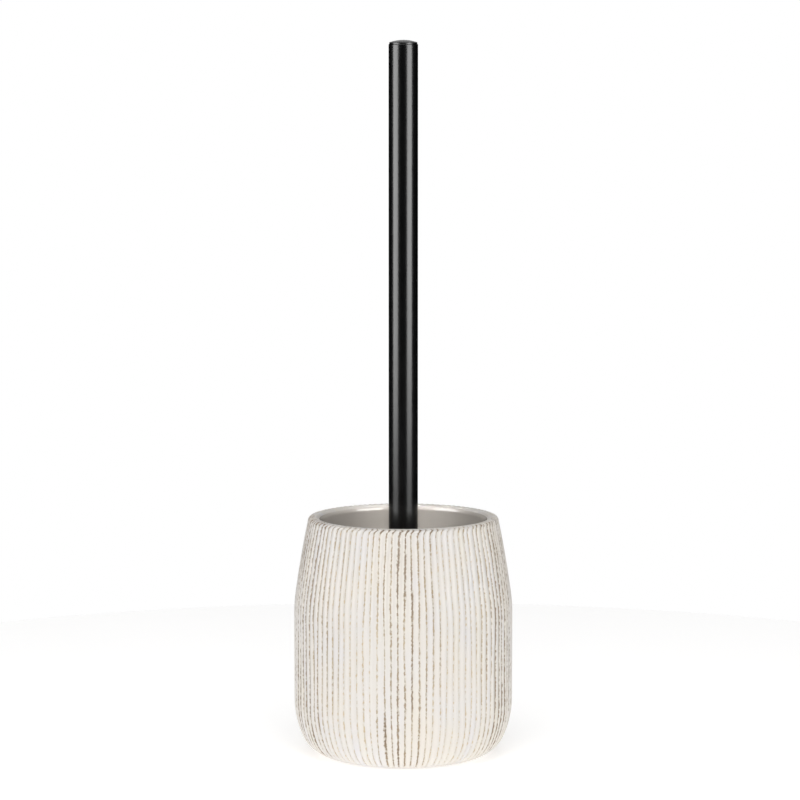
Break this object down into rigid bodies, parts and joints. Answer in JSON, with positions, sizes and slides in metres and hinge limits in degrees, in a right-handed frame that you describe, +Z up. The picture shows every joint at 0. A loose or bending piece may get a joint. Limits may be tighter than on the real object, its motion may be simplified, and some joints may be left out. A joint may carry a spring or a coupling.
{
  "type": "toilet brush holder",
  "caption": "Free-standing ribbed ceramic pot with a tufted toilet brush on a black tubular handle; the brush lifts out and its handle unscrews from the head.",
  "frame": {"origin": "on the floor, under the middle of the pot", "axes": "+Z up along the pot and the handle; -Y towards the front"},
  "size_m": [0.1204, 0.1204, 0.3935],
  "materials": {
    "stoneware": "matt off-white glaze, worn to brown in the grooves",
    "pad_rubber": "soft, translucent grey",
    "core_plastic": "moulded, satin",
    "bristle_plastic": "extruded filament",
    "anchor_steel": "cut strip",
    "zinc_steel": "zinc plated",
    "insert_plastic": "moulded, matt",
    "black_metal": "satin black paint",
    "cap_plastic": "moulded, semi-gloss"
  },
  "bodies": {
    "holder": {"holder_pot": "stoneware", "foot_pad_1": "pad_rubber", "foot_pad_2": "pad_rubber", "foot_pad_3": "pad_rubber", "foot_pad_4": "pad_rubber"},
    "brush_head": {"brush_core": "core_plastic", "bristle_row_7": "bristle_plastic", "bristle_row_6": "bristle_plastic", "bristle_row_5": "bristle_plastic", "bristle_row_4": "bristle_plastic", "bristle_row_3": "bristle_plastic", "bristle_row_2": "bristle_plastic", "bristle_row_1": "bristle_plastic", "bristle_dome_1": "bristle_plastic", "bristle_dome_2": "bristle_plastic", "bristle_dome_3": "bristle_plastic", "bristle_tip": "bristle_plastic", "anchors_row_7": "anchor_steel", "anchors_row_6": "anchor_steel", "anchors_row_5": "anchor_steel", "anchors_row_4": "anchor_steel", "anchors_row_3": "anchor_steel", "anchors_row_2": "anchor_steel", "anchors_row_1": "anchor_steel", "anchors_dome_1": "anchor_steel", "anchors_dome_2": "anchor_steel", "anchors_dome_3": "anchor_steel", "anchors_tip": "anchor_steel"},
    "stud": {"threaded_stud": "zinc_steel"},
    "handle": {"thread_insert": "insert_plastic", "handle_tube": "black_metal", "handle_end_cap": "cap_plastic"}
  },
  "joints": [
    {"name": "brush_lift", "type": "slide", "parent": "holder", "child": "brush_head", "axis": [0, 0, 1], "range_m": [0, 0.16]},
    {"name": "handle_travel", "type": "slide", "parent": "brush_head", "child": "stud", "axis": [0, 0, 1], "range_m": [0, 0.01126]},
    {"name": "handle_unscrew", "type": "hinge", "parent": "stud", "child": "handle", "pos_m": [0, 0, 0.0998], "axis": [0, 0, 1], "range_deg": [0, 3240]}
  ],
  "couplings": [
    {"joint": "handle_travel", "follows": "handle_unscrew", "m_per_rad": 0.00019894}
  ]
}
